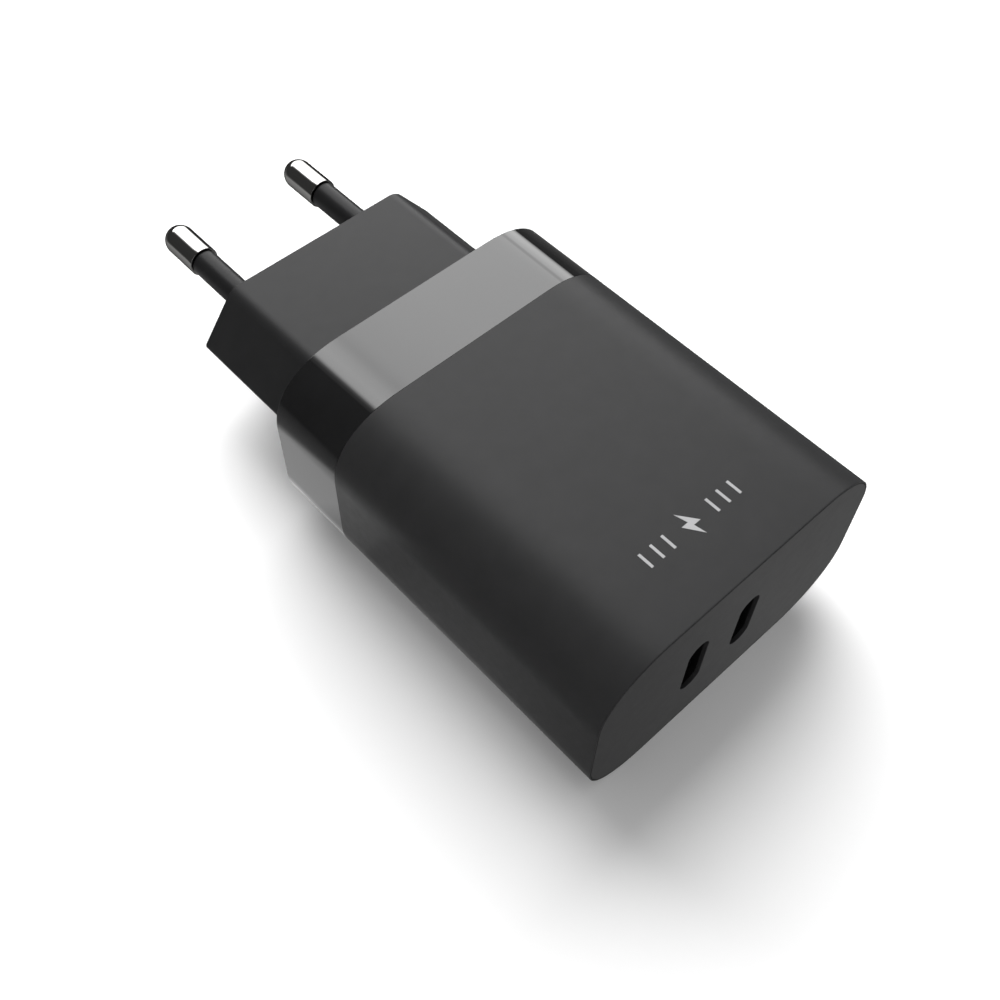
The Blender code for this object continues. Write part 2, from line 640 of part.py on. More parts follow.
def heat_spreader(aluminium, silicone):
    """Bent plate over and beside the transformer, with a soft pad between them."""
    core_top = SEAT_Z + CORE_SIZE[2]
    pad_span = (core_top + GAP, core_top + GAP + 0.4 * MM)
    pad = rounded_box(14.0 * MM, 10.0 * MM, 1.0 * MM, (TRANSFORMER_X, TRANSFORMER_Y))
    plate("thermal_pad", [pad], pad_span, FLAT, silicone)
    sheet = 0.6 * MM
    top = pad_span[1] + GAP + sheet
    leg_x = TRANSFORMER_X + CORE_SIZE[0] / 2 + GAP
    foot_z = SEAT_Z + 1.0 * MM
    corners = [(-1.0 * MM, top - sheet), (leg_x, top - sheet), (leg_x, foot_z)]
    corners += [(leg_x + sheet, foot_z), (leg_x + sheet, top), (-1.0 * MM, top)]
    outline = rounded_polygon(corners, [0.1 * MM, 0.9 * MM, 0.1 * MM, 0.1 * MM, 1.5 * MM, 0.1 * MM])
    plate("heat_spreader", [outline], (-25.0 * MM, -7.0 * MM), FACING_Y, aluminium)


def palette():
    return {
        "housing_matte": surface("housing_matte", (0.033, 0.033, 0.035), 0.5),
        "collar_gloss": surface("collar_gloss", (0.008, 0.008, 0.009), 0.08),
        "plug_matte": surface("plug_matte", (0.036, 0.036, 0.038), 0.48),
        "sleeve_black": surface("sleeve_black", (0.015, 0.015, 0.016), 0.35),
        "nickel": surface("nickel", (0.72, 0.70, 0.67), 0.12, 1.0),
        "brass": surface("brass", (0.72, 0.50, 0.20), 0.3, 1.0),
        "steel_shell": surface("steel_shell", (0.45, 0.45, 0.46), 0.3, 1.0),
        "tongue_black": surface("tongue_black", (0.012, 0.012, 0.013), 0.45),
        "board_green": surface("board_green", (0.02, 0.12, 0.05), 0.45),
        "barrier_film": surface("barrier_film", (0.55, 0.53, 0.45), 0.5),
        "ferrite": surface("ferrite", (0.045, 0.045, 0.05), 0.6),
        "bobbin_nylon": surface("bobbin_nylon", (0.05, 0.05, 0.05), 0.5),
        "winding_tape": surface("winding_tape", (0.75, 0.52, 0.08), 0.3),
        "capacitor_film": surface("capacitor_film", (0.03, 0.04, 0.10), 0.35),
        "aluminium": surface("aluminium", (0.78, 0.79, 0.80), 0.28, 1.0),
        "copper": surface("copper", (0.75, 0.30, 0.12), 0.25, 1.0),
        "fuse_brown": surface("fuse_brown", (0.16, 0.07, 0.04), 0.45),
        "disc_green": surface("disc_green", (0.05, 0.16, 0.08), 0.4),
        "disc_blue": surface("disc_blue", (0.03, 0.10, 0.32), 0.35),
        "film_yellow": surface("film_yellow", (0.75, 0.50, 0.05), 0.4),
        "chip_black": surface("chip_black", (0.02, 0.02, 0.02), 0.5),
        "silicone_grey": surface("silicone_grey", (0.35, 0.36, 0.40), 0.7),
    }


def build():
    paint = palette()
    housing_sleeve(paint["housing_matte"])
    front_panel(paint["housing_matte"])
    collar_cover(paint["collar_gloss"])
    plug_body(paint["plug_matte"])
    pins_and_sleeves(paint["nickel"], paint["sleeve_black"])
    pin_contacts(paint["brass"])
    usb_ports(paint["steel_shell"], paint["tongue_black"])
    port_board(paint["board_green"])
    main_board(paint["board_green"])
    insulation_sheet(paint["barrier_film"])
    transformer_core(paint["ferrite"])
    transformer_coil_former(paint["bobbin_nylon"], paint["winding_tape"])
    capacitors(paint["capacitor_film"], paint["aluminium"])
    common_mode_choke(paint["ferrite"], paint["copper"])
    mains_input_parts(paint)
    chips_and_coupling(paint)
    heat_spreader(paint["aluminium"], paint["silicone_grey"])


clear_scene()
PIECES = new_collection("usb_wall_charger")
CUTTERS = new_collection("cutters")
build()
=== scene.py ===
import json
import math

import bmesh
import bpy
from mathutils import Matrix, Vector


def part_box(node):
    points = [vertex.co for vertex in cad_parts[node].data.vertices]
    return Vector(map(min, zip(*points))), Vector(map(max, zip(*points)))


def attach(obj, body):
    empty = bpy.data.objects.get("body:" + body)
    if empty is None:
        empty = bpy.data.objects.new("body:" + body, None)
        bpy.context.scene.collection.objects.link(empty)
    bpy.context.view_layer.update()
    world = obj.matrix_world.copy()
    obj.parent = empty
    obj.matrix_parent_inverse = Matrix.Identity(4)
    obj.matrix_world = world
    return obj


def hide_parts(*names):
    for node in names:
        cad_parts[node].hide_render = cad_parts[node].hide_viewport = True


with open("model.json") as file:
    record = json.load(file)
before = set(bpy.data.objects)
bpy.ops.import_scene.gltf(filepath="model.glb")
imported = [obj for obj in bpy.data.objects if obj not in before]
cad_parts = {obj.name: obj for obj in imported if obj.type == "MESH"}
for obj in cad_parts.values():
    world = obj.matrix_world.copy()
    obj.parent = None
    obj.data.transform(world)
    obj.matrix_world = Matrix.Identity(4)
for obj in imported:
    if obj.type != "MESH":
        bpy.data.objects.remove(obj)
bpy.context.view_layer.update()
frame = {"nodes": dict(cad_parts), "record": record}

# USB wall charger: the visible surfaces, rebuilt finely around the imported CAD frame.
# Lengths are in metres in the row frame: +X across the pins, +Y towards the plug, +Z up.

MM = 0.001

# Sizes of the whole body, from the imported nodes
housing_low, housing_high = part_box("housing_sleeve")
collar_low, collar_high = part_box("collar_cover")
plug_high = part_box("plug_body")[1]
pin_low, pin_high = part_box("pin_left")
sleeve_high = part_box("pin_sleeve_left")[1]

BODY_WIDTH = housing_high.x - housing_low.x
BODY_HEIGHT = housing_high.z - housing_low.z
AXIS_Z = (housing_low.z + housing_high.z) / 2
FRONT_Y = housing_low.y
COLLAR_END_Y = collar_high.y
PLUG_FACE_Y = plug_high.y
PIN_TIP_Y = pin_high.y
PIN_X = (pin_low.x + pin_high.x) / 2
PIN_RADIUS = (pin_high.x - pin_low.x) / 2
SLEEVE_END_Y = sleeve_high.y

# Body section: flat sides with large corners slightly fuller than an ellipse
CORNER_ACROSS = 9.5 * MM
CORNER_UP = 8.1 * MM
CORNER_FULLNESS = 2.25
CORNER_STEPS = 56
SUPPORT = 0.4 * MM

# Housing and front panel
SEAM_Y = -4.3 * MM
SEAM_HALF = 0.008 * MM
SEAM_LAND = 0.6 * MM
WALL = 1.8 * MM
HIDDEN_EDGE = 0.1 * MM
TUBE_BACK_EDGE = 0.02 * MM
LIP = 0.16 * MM
LIP_DEPTH = 2.3 * MM
LIP_ROUND = 0.06 * MM
PANEL_INSET = 0.23 * MM
PANEL_EDGE = 0.04 * MM
PANEL_THICKNESS = 2.0 * MM
PANEL_SKIN = 0.45 * MM
POCKET_GAP = 0.3 * MM
SLOT_EDGE = 0.05 * MM
FLAT_RING = 0.06 * MM

# Collar
COLLAR_EDGE = 0.04 * MM
COLLAR_SEAM_EDGE = 0.02 * MM
COLLAR_WALL = 3.0 * MM
SPIGOT_GAP = 0.15 * MM
END_WALL = 2.0 * MM
END_FLAT_RING = 0.3 * MM
EDGE_SUPPORT = 0.04 * MM

# Plug block, a flat hexagon with soft shoulders
PLUG_WIDTH = 35.5 * MM
PLUG_HEIGHT = 12.8 * MM
PLUG_FLAT = 25.2 * MM
PLUG_SIDE_ROUND = 0.7 * MM
PLUG_TOP_ROUND = 2.5 * MM
PLUG_ROUND_STEPS = 14
PLUG_EDGE = 0.06 * MM
PLUG_FLAT_RING = 0.1 * MM
PLUG_GAP = 0.08 * MM
PLUG_ROOT_Y = 4.3 * MM

# Pins and their sleeves
SLEEVE_RADIUS = 1.75 * MM
SLEEVE_FLARE = 0.45 * MM
SLEEVE_ROOT_Y = 23.4 * MM
BORE_GAP = 0.04 * MM
BORE_SPARE = 0.4 * MM
STEM_RADIUS = 1.35 * MM
STEM_GAP = 0.05 * MM
BARE_Y = SLEEVE_END_Y + 0.12 * MM
TURN_STEPS = 72
TURN_CORE = 0.01 * MM

# USB-C ports
PORT_Z = AXIS_Z - 0.3 * MM
SLOT_WIDTH = 2.95 * MM
SLOT_HEIGHT = 8.9 * MM
STADIUM_STEPS = 14
STADIUM_SHARE = 0.9998
SHELL_WALL = 0.3 * MM
TONGUE_CONTACTS = 12
CONTACT_PITCH = 0.5 * MM


# Mesh helpers


def finish_mesh(name, shape, material, node, sharp=32.0):
    """Puts a bmesh in the scene as a piece; node may be None."""
    bmesh.ops.remove_doubles(shape, verts=shape.verts, dist=1e-7)
    bmesh.ops.recalc_face_normals(shape, faces=shape.faces)
    mesh = bpy.data.meshes.new(name)
    shape.to_mesh(mesh)
    shape.free()
    mesh.shade_smooth()
    mesh.set_sharp_from_angle(angle=math.radians(sharp))
    mesh.materials.append(material)
    obj = bpy.data.objects.new(name, mesh)
    bpy.context.scene.collection.objects.link(obj)
    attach(obj, "root")
    if node:
        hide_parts(node)
    return obj


def add_ring(shape, points):
    return [shape.verts.new(point) for point in points]


def bridge(shape, first, second):
    """Quads between two rings of the same length."""
    count = len(first)
    for index in range(count):
        after = (index + 1) % count
        shape.faces.new((first[index], first[after], second[after], second[index]))


def skin(shape, rings, closed=False):
    """Quads through rings of the same length; closed joins the last to the first."""
    loops = [add_ring(shape, ring) for ring in rings]
    for first, second in zip(loops, loops[1:]):
        bridge(shape, first, second)
    if closed:
        bridge(shape, loops[-1], loops[0])
    return loops


def fill(shape, loops):
    """A flat face with the first loop outside and the others as its holes."""
    edges = []
    for loop in loops:
        for index, vert in enumerate(loop):
            ends = (vert, loop[(index + 1) % len(loop)])
            edges.append(shape.edges.get(ends) or shape.edges.new(ends))
    bmesh.ops.triangle_fill(shape, use_beauty=True, use_dissolve=False, edges=edges)


def arc(centre, radius, start, end, steps):
    """Points (a, b) along an arc, its angles in degrees."""
    points = []
    for step in range(steps + 1):
        angle = math.radians(start + (end - start) * step / steps)
        across, up = radius * math.cos(angle), radius * math.sin(angle)
        points.append((centre[0] + across, centre[1] + up))
    return points


# Outlines


def body_ring(inset, y):
    """The housing's section, drawn inwards by an inset, at one Y."""
    half = (BODY_WIDTH / 2 - inset, BODY_HEIGHT / 2 - inset)
    corner = (CORNER_ACROSS - inset, CORNER_UP - inset)
    power = 2 / CORNER_FULLNESS
    points = []
    for quadrant in range(4):
        side = (1 if quadrant in (0, 3) else -1, 1 if quadrant in (0, 1) else -1)
        run = []
        for step in range(CORNER_STEPS + 1):
            angle = (quadrant + step / CORNER_STEPS) * math.pi / 2
            bulge = (abs(math.cos(angle)) ** power, abs(math.sin(angle)) ** power)
            run.append(tuple(side[k] * (half[k] - corner[k] + corner[k] * bulge[k])
                             for k in (0, 1)))
        first, last = run[0], run[-1]
        if quadrant % 2 == 0:
            run.insert(0, (first[0], first[1] - side[1] * SUPPORT))
            run.append((last[0] - side[0] * SUPPORT, last[1]))
        else:
            run.insert(0, (first[0] - side[0] * SUPPORT, first[1]))
            run.append((last[0], last[1] - side[1] * SUPPORT))
        points += [(x, y, AXIS_Z + z) for x, z in run]
    return points


def rounded_polygon(corners, radii, steps):
    """The outline through the corners, each replaced by an arc of its own radius."""
    points = []
    for index, corner in enumerate(corners):
        here = Vector(corner)
        back = (Vector(corners[index - 1]) - here).normalized()
        ahead = (Vector(corners[(index + 1) % len(corners)]) - here).normalized()
        half_angle = back.angle(ahead) / 2
        centre = here + (back + ahead).normalized() * radii[index] / math.sin(half_angle)
        start = here + back * radii[index] / math.tan(half_angle) - centre
        end = here + ahead * radii[index] / math.tan(half_angle) - centre
        swing = start.angle_signed(end)
        for step in range(steps + 1):
            turn = Matrix.Rotation(-swing * step / steps, 2)
            points.append(tuple(centre + turn @ start))
    return points


def plug_outline(inset):
    """The plug's hexagon with all its sides moved inwards by an inset."""
    half_width, half_flat = PLUG_WIDTH / 2, PLUG_FLAT / 2
    half_height = PLUG_HEIGHT / 2
    slant = math.atan2(half_height, half_width - half_flat)
    side = half_width - inset / math.sin(slant)
    flat = half_flat - inset * math.tan(slant / 2)
    up = half_height - inset
    corners = [(side, 0), (flat, up), (-flat, up), (-side, 0), (-flat, -up), (flat, -up)]
    tight, soft = PLUG_SIDE_ROUND - inset * 0.6, PLUG_TOP_ROUND - inset * 0.6
    radii = [tight, soft, soft, tight, soft, soft]
    outline = rounded_polygon(corners, radii, PLUG_ROUND_STEPS)
    return [(x, AXIS_Z + z) for x, z in outline]


def port_corners(centre_x, half):
    """The corners (x, z) of an upright rectangle round a port's axis."""
    return [(centre_x + x * half[0], PORT_Z + z * half[1])
            for x, z in ((1, 1), (-1, 1), (-1, -1), (1, -1))]


def stadium(width, height, centre_x, inset=0.0):
    """An upright slot's outline (x, z), its ends as good as half round."""
    half = (width / 2 - inset, height / 2 - inset)
    radii = [half[0] * STADIUM_SHARE] * 4
    return rounded_polygon(port_corners(centre_x, half), radii, STADIUM_STEPS)


def at_y(outline, y):
    return [(x, y, z) for x, z in outline]


def circle(centre_x, radius, y):
    """A ring round a pin's axis."""
    points = []
    for step in range(TURN_STEPS):
        angle = 2 * math.pi * step / TURN_STEPS
        across, up = radius * math.cos(angle), radius * math.sin(angle)
        points.append((centre_x + across, y, AXIS_Z + up))
    return points


# Procedural materials

EVEN = (1.0, 1.0, 1.0)
NOISE_LOW = 0.3
NOISE_HIGH = 0.7
NOISE_ROUGHNESS = 0.55


def tint(colour, factor):
    return tuple(min(1.0, channel * factor) for channel in colour) + (1.0,)


def grey_stop(position, share):
    return position, (share, share, share, 1.0)


def set_stops(ramp, stops):
    """Gives a colour ramp node its (position, colour) stops."""
    while len(ramp.color_ramp.elements) < len(stops):
        ramp.color_ramp.elements.new(0.5)
    for element, (position, colour) in zip(ramp.color_ramp.elements, stops):
        element.position = position
        element.color = colour


class Surface:
    """A Principled material whose colour, roughness and bump come from noise nodes."""

    def __init__(self, name, metallic=0.0, specular=0.5):
        self.material = bpy.data.materials.new(name)
        self.material.use_nodes = True
        self.nodes = self.material.node_tree.nodes
        self.links = self.material.node_tree.links
        self.shader = self.nodes["Principled BSDF"]
        self.shader.inputs["Metallic"].default_value = metallic
        self.shader.inputs["Specular IOR Level"].default_value = specular
        self.place = self.nodes.new("ShaderNodeTexCoord").outputs["Object"]

    def noise(self, size, stretch=EVEN, detail=3.0):
        """Noise of about this feature size in metres, stretched along the axes."""
        mapping = self.nodes.new("ShaderNodeMapping")
        mapping.inputs["Scale"].default_value = [1.0 / (size * factor) for factor in stretch]
        texture = self.nodes.new("ShaderNodeTexNoise")
        texture.inputs["Scale"].default_value = 1.0
        texture.inputs["Detail"].default_value = detail
        texture.inputs["Roughness"].default_value = NOISE_ROUGHNESS
        self.links.new(self.place, mapping.inputs["Vector"])
        self.links.new(mapping.outputs["Vector"], texture.inputs["Vector"])
        return texture.outputs["Fac"]

    def ramp(self, value, stops):
        node = self.nodes.new("ShaderNodeValToRGB")
        set_stops(node, stops)
        self.links.new(value, node.inputs["Fac"])
        return node.outputs["Color"]

    def remap(self, value, low, high):
        node = self.nodes.new("ShaderNodeMapRange")
        node.inputs["From Min"].default_value = NOISE_LOW
        node.inputs["From Max"].default_value = NOISE_HIGH
        node.inputs["To Min"].default_value = low
        node.inputs["To Max"].default_value = high
        self.links.new(value, node.inputs["Value"])
        return node.outputs["Result"]

    def colour(self, base, spread, size, stretch=EVEN):
        stops = [(NOISE_LOW, tint(base, 1.0 - spread)), (NOISE_HIGH, tint(base, 1.0 + spread))]
        value = self.ramp(self.noise(size, stretch), stops)
        self.links.new(value, self.shader.inputs["Base Color"])

    def roughness(self, low, high, size, stretch=EVEN):
        value = self.remap(self.noise(size, stretch), low, high)
        self.links.new(value, self.shader.inputs["Roughness"])

    def bump(self, size, depth, stretch=EVEN):
        """A bump from noise: its depth is in metres."""
        node = self.nodes.new("ShaderNodeBump")
        node.inputs["Distance"].default_value = depth
        node.inputs["Strength"].default_value = 1.0
        self.links.new(self.noise(size, stretch, detail=2.0), node.inputs["Height"])
        self.links.new(node.outputs["Normal"], self.shader.inputs["Normal"])


def moulded(name, base, roughness, grain=0.09 * MM, depth=0.0015 * MM, specular=0.5,
            spread=0.05):
    """Spark-textured moulded plastic: fine grain, slight tone and sheen variation."""
    surface = Surface(name, specular=specular)
    surface.colour(base, spread, 3.0 * MM)
    surface.roughness(roughness[0], roughness[1], 1.2 * MM)
    surface.bump(grain, depth)
    return surface.material


def glossy(name, base, roughness):
    """Polished moulded plastic with faint flow waviness."""
    surface = Surface(name)
    surface.colour(base, 0.12, 5.0 * MM)
    surface.roughness(roughness[0], roughness[1], 2.5 * MM)
    surface.bump(6.0 * MM, 0.0006 * MM)
    return surface.material


def plated(name, base, roughness, along=(1.0, 12.0, 1.0), depth=0.0004 * MM, edge=1.0):
    """Plated metal with fine drawing lines along one axis."""
    surface = Surface(name, metallic=1.0)
    surface.shader.inputs["Specular Tint"].default_value = (edge, edge, edge, 1.0)
    surface.colour(base, 0.05, 0.5 * MM, along)
    surface.roughness(roughness[0], roughness[1], 0.35 * MM, along)
    surface.bump(0.05 * MM, depth, along)
    return surface.material


def film(name, base, roughness):
    """Shrunk sleeve, tape or dipped coating: soft ripples under a satin skin."""
    surface = Surface(name)
    surface.colour(base, 0.10, 1.5 * MM)
    surface.roughness(roughness[0], roughness[1], 0.8 * MM)
    surface.bump(0.9 * MM, 0.02 * MM)
    return surface.material


def board(name):
    """Solder-masked laminate: fine weave bumps, and patches of lighter green over traces."""
    surface = Surface(name)
    mask, over_trace = (0.006, 0.060, 0.022, 1), (0.010, 0.105, 0.040, 1)
    traces = surface.noise(2.2 * MM, detail=0.0)
    stops = [(0.0, mask), (0.48, mask), (0.52, over_trace)]
    surface.links.new(surface.ramp(traces, stops), surface.shader.inputs["Base Color"])
    surface.roughness(0.26, 0.38, 0.6 * MM)
    surface.bump(0.35 * MM, 0.004 * MM)
    return surface.material


def make_materials():
    grey = (0.0206, 0.0206, 0.0211)
    made = {}

    def add(kind, name, *looks, **more):
        made[name] = kind(name, *looks, **more)

    add(moulded, "housing_matte", grey, (0.38, 0.42), specular=0.1)
    add(moulded, "panel_matte", grey, (0.39, 0.41), depth=0.001 * MM, specular=0.1)
    add(glossy, "collar_gloss", (0.007, 0.007, 0.0072), (0.02, 0.04))
    add(moulded, "plug_matte", (0.0155, 0.0155, 0.016), (0.38, 0.42), specular=0.115)
    add(moulded, "sleeve_black", (0.012, 0.012, 0.0125), (0.32, 0.38), depth=0.0008 * MM,
        specular=0.09)
    add(plated, "nickel", (0.28, 0.278, 0.272), (0.06, 0.12), edge=0.3)
    add(plated, "brass", (0.80, 0.58, 0.27), (0.20, 0.32))
    # The receptacle shells are near-black: painted shade of the port recesses over plated steel.
    add(plated, "steel_shell", (0.012, 0.012, 0.013), (0.34, 0.46), edge=0.1)
    add(moulded, "tongue_black", (0.003, 0.003, 0.003), (0.45, 0.55), specular=0.1)
    add(board, "board_green")
    add(film, "barrier_film", (0.78, 0.76, 0.70), (0.28, 0.40))
    add(moulded, "ferrite", (0.030, 0.030, 0.033), (0.55, 0.75), 0.16 * MM, 0.008 * MM,
        spread=0.25)
    add(moulded, "bobbin_nylon", (0.05, 0.05, 0.055), (0.35, 0.45))
    add(film, "winding_tape", (0.75, 0.55, 0.08), (0.25, 0.38))
    add(film, "capacitor_film", (0.02, 0.05, 0.14), (0.22, 0.32))
    add(plated, "aluminium", (0.80, 0.80, 0.80), (0.28, 0.42), (1.0, 1.0, 9.0), 0.001 * MM)
    add(plated, "copper", (0.82, 0.36, 0.18), (0.16, 0.28), EVEN)
    add(film, "fuse_brown", (0.09, 0.035, 0.018), (0.25, 0.40))
    add(film, "disc_green", (0.02, 0.10, 0.05), (0.22, 0.35))
    add(film, "disc_blue", (0.02, 0.12, 0.42), (0.22, 0.35))
    add(film, "film_yellow", (0.62, 0.45, 0.06), (0.25, 0.38))
    add(moulded, "chip_black", (0.022, 0.022, 0.023), (0.50, 0.65), 0.05 * MM, 0.004 * MM)
    add(moulded, "silicone_grey", (0.26, 0.27, 0.28), (0.60, 0.75), 0.25 * MM, 0.006 * MM)
    add(moulded, "print", (0.28, 0.28, 0.285), (0.45, 0.60), 0.06 * MM, 0.001 * MM)
    return made


# Outside pieces


def housing(materials):
    """Matte tube: eased front lip round the panel, crisp edge at the collar, inner wall."""
    back_y = SEAM_Y - SEAM_HALF
    lip_y = FRONT_Y + LIP_DEPTH
    edge = TUBE_BACK_EDGE
    profile = [(WALL, lip_y), (LIP + 0.01 * MM, lip_y), (LIP, lip_y - HIDDEN_EDGE)]
    profile += arc((LIP - LIP_ROUND, FRONT_Y + LIP_ROUND), LIP_ROUND, 0, -90, 5)
    profile += arc((LIP_ROUND, FRONT_Y + LIP_ROUND), LIP_ROUND, 270, 180, 5)
    profile += [(0.0, FRONT_Y + 0.2 * MM), (0.0, back_y - 0.1 * MM)]
    profile += arc((edge, back_y - edge), edge, 180, 90, 3)
    profile += [(SEAM_LAND, back_y), (WALL - HIDDEN_EDGE, back_y), (WALL, back_y - HIDDEN_EDGE)]
    shape = bmesh.new()
    skin(shape, [body_ring(inset, y) for inset, y in profile], closed=True)
    matte = materials["housing_matte"]
    finish_mesh("housing_shell", shape, matte, "housing_sleeve")


def front_plate(materials):
    """Front panel with two eased stadium slots, pocketed behind for the receptacles."""
    back_y = FRONT_Y + PANEL_THICKNESS
    edge = PANEL_EDGE
    profile = [(PANEL_INSET + HIDDEN_EDGE, back_y), (PANEL_INSET, back_y - HIDDEN_EDGE)]
    profile += arc((PANEL_INSET + edge, FRONT_Y + edge), edge, 180, 270, 5)
    profile += [(PANEL_INSET + edge + FLAT_RING, FRONT_Y)]
    shape = bmesh.new()
    outer = skin(shape, [body_ring(inset, y) for inset, y in profile])
    front_holes = []
    back_holes = []
    for node in ("usb_shell_left", "usb_shell_right"):
        low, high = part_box(node)
        centre = (low.x + high.x) / 2
        size = (SLOT_WIDTH, SLOT_HEIGHT)
        pocket = (high.x - low.x + POCKET_GAP, high.z - low.z + POCKET_GAP)
        rounding = arc((SLOT_EDGE, FRONT_Y + SLOT_EDGE), SLOT_EDGE, 270, 180, 5)
        rounding.insert(0, (SLOT_EDGE + FLAT_RING, FRONT_Y))
        rings = [at_y(stadium(*size, centre, -grow), y) for grow, y in rounding]
        rings += [at_y(stadium(*size, centre), FRONT_Y + PANEL_SKIN)]
        rings += [at_y(stadium(*pocket, centre), y) for y in (FRONT_Y + PANEL_SKIN, back_y)]
        loops = skin(shape, rings)
        front_holes.append(loops[0])
        back_holes.append(loops[-1])
    fill(shape, [outer[-1]] + front_holes)
    fill(shape, [outer[0]] + back_holes)
    finish_mesh("front_plate", shape, materials["panel_matte"], "front_panel")


def collar(materials):
    """Gloss-black end cover: crisp edges, flat end around the plug, inner spigot."""
    start_y = SEAM_Y + SEAM_HALF
    edge, seam_edge = COLLAR_EDGE, COLLAR_SEAM_EDGE
    spigot = WALL + SPIGOT_GAP
    profile = [(COLLAR_WALL, COLLAR_END_Y - END_WALL), (COLLAR_WALL, collar_low.y)]
    profile += [(spigot, collar_low.y), (spigot, start_y + 0.02 * MM), (WALL, start_y)]
    profile += [(SEAM_LAND, start_y)]
    profile += arc((seam_edge, start_y + seam_edge), seam_edge, 270, 180, 4)
    profile += [(0.0, start_y + 0.06 * MM), (0.0, COLLAR_END_Y - edge - EDGE_SUPPORT)]
    profile += arc((edge, COLLAR_END_Y - edge), edge, 180, 90, 10)
    profile += [(edge + END_FLAT_RING, COLLAR_END_Y)]
    shape = bmesh.new()
    body = skin(shape, [body_ring(inset, y) for inset, y in profile])
    ease = 0.15 * MM
    rounding = arc((0.0, COLLAR_END_Y - ease), ease, 90, 0, 5)
    opening = [(-PLUG_GAP - ease + a, y) for a, y in rounding]
    opening += [(-PLUG_GAP, COLLAR_END_Y - END_WALL)]
    hole = skin(shape, [at_y(plug_outline(inset), y) for inset, y in opening])
    fill(shape, [body[-1], hole[0]])
    fill(shape, [body[0], hole[-1]])
    finish_mesh("gloss_collar", shape, materials["collar_gloss"], "collar_cover")


def plug(materials):
    """Matte Europlug block: soft shoulders, eased face edge, bored for the sleeves."""
    profile = [(PLUG_EDGE, PLUG_ROOT_Y), (0.0, PLUG_ROOT_Y + PLUG_EDGE), (0.0, COLLAR_END_Y)]
    profile += [(0.0, PLUG_FACE_Y - PLUG_EDGE - EDGE_SUPPORT)]
    profile += arc((PLUG_EDGE, PLUG_FACE_Y - PLUG_EDGE), PLUG_EDGE, 180, 90, 9)
    profile += [(PLUG_EDGE + PLUG_FLAT_RING, PLUG_FACE_Y)]
    shape = bmesh.new()
    loops = skin(shape, [at_y(plug_outline(inset), y) for inset, y in profile])
    bores = []
    radius = SLEEVE_RADIUS + BORE_GAP
    bore_end_y = SLEEVE_ROOT_Y - BORE_SPARE
    for x in (PIN_X, -PIN_X):
        ends = skin(shape, [circle(x, radius, y) for y in (PLUG_FACE_Y, bore_end_y)])
        fill(shape, [ends[-1]])
        bores.append(ends[0])
    fill(shape, [loops[-1]] + bores)
    fill(shape, [loops[0]])
    finish_mesh("plug_block", shape, materials["plug_matte"], "plug_body")


def turn(shape, centre_x, profile):
    """A lathe shape along Y through (radius, y), its ends closed."""
    rings = [circle(centre_x, max(radius, TURN_CORE), y) for radius, y in profile]
    loops = skin(shape, rings)
    fill(shape, [loops[0]])
    fill(shape, [loops[-1]])


def pins(materials):
    """Domed nickel-plated tips above the sleeves, on thinner stems inside them."""
    shoulder = 0.04 * MM
    tip_centre = PIN_TIP_Y - PIN_RADIUS
    stem_radius = STEM_RADIUS - STEM_GAP
    stem = [(stem_radius, SLEEVE_ROOT_Y), (stem_radius, BARE_Y)]
    rounding = arc((0.0, BARE_Y + shoulder), shoulder, -90, 0, 5)
    tip = [(PIN_RADIUS - shoulder, BARE_Y)]
    tip += [(PIN_RADIUS - shoulder + r, y) for r, y in rounding[1:]]
    tip += [(PIN_RADIUS, BARE_Y + 1.0 * MM), (PIN_RADIUS, tip_centre - 0.3 * MM)]
    tip += arc((0.0, tip_centre), PIN_RADIUS, 0, 89.6, 26)
    for side, x in (("left", PIN_X), ("right", -PIN_X)):
        shape = bmesh.new()
        turn(shape, x, stem + tip)
        finish_mesh(f"pin_tip_{side}", shape, materials["nickel"], f"pin_{side}", 40)


def pin_sleeves(materials):
    """Insulating sleeves with a small fillet where they leave the plug's face."""
    end = 0.10 * MM
    foot = PLUG_FACE_Y + 0.015 * MM
    flared = SLEEVE_RADIUS + SLEEVE_FLARE
    outer = [(SLEEVE_RADIUS, SLEEVE_ROOT_Y), (SLEEVE_RADIUS, foot), (flared, foot)]
    outer += arc((flared, foot + SLEEVE_FLARE), SLEEVE_FLARE, 270, 180, 8)[1:]
    outer += [(SLEEVE_RADIUS, foot + 2.0 * MM), (SLEEVE_RADIUS, SLEEVE_END_Y - end - 0.3 * MM)]
    outer += arc((SLEEVE_RADIUS - end, SLEEVE_END_Y - end), end, 0, 90, 5)
    profile = outer + [(STEM_RADIUS, SLEEVE_END_Y), (STEM_RADIUS, SLEEVE_ROOT_Y)]
    for side, x in (("left", PIN_X), ("right", -PIN_X)):
        shape = bmesh.new()
        skin(shape, [circle(x, radius, y) for radius, y in profile], closed=True)
        name = f"pin_insulation_{side}"
        node = f"pin_sleeve_{side}"
        finish_mesh(name, shape, materials["sleeve_black"], node, 40)


def receptacles(materials):
    """USB-C receptacles: rolled shells darkened as painted shade, black linings as painted shade,
    thin tongues and contacts.
    """
    for side in ("left", "right"):
        low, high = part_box(f"usb_shell_{side}")
        centre = (low.x + high.x) / 2
        size = (high.x - low.x, high.z - low.z)
        front, back = low.y, high.y
        half_wall = SHELL_WALL / 2
        profile = [(0.0, back), (0.0, front + half_wall)]
        profile += arc((half_wall, front + half_wall), half_wall, 180, 360, 10)
        profile += [(SHELL_WALL, back - 0.1 * MM), (SHELL_WALL, back)]
        shape = bmesh.new()
        rings = [at_y(stadium(*size, centre, inset), y) for inset, y in profile]
        skin(shape, rings, closed=True)
        node = f"usb_shell_{side}"
        finish_mesh(f"port_shell_{side}", shape, materials["steel_shell"], node)
        painted_shade_lining(side, centre, size, front, materials)
        tongue(side, centre, materials)


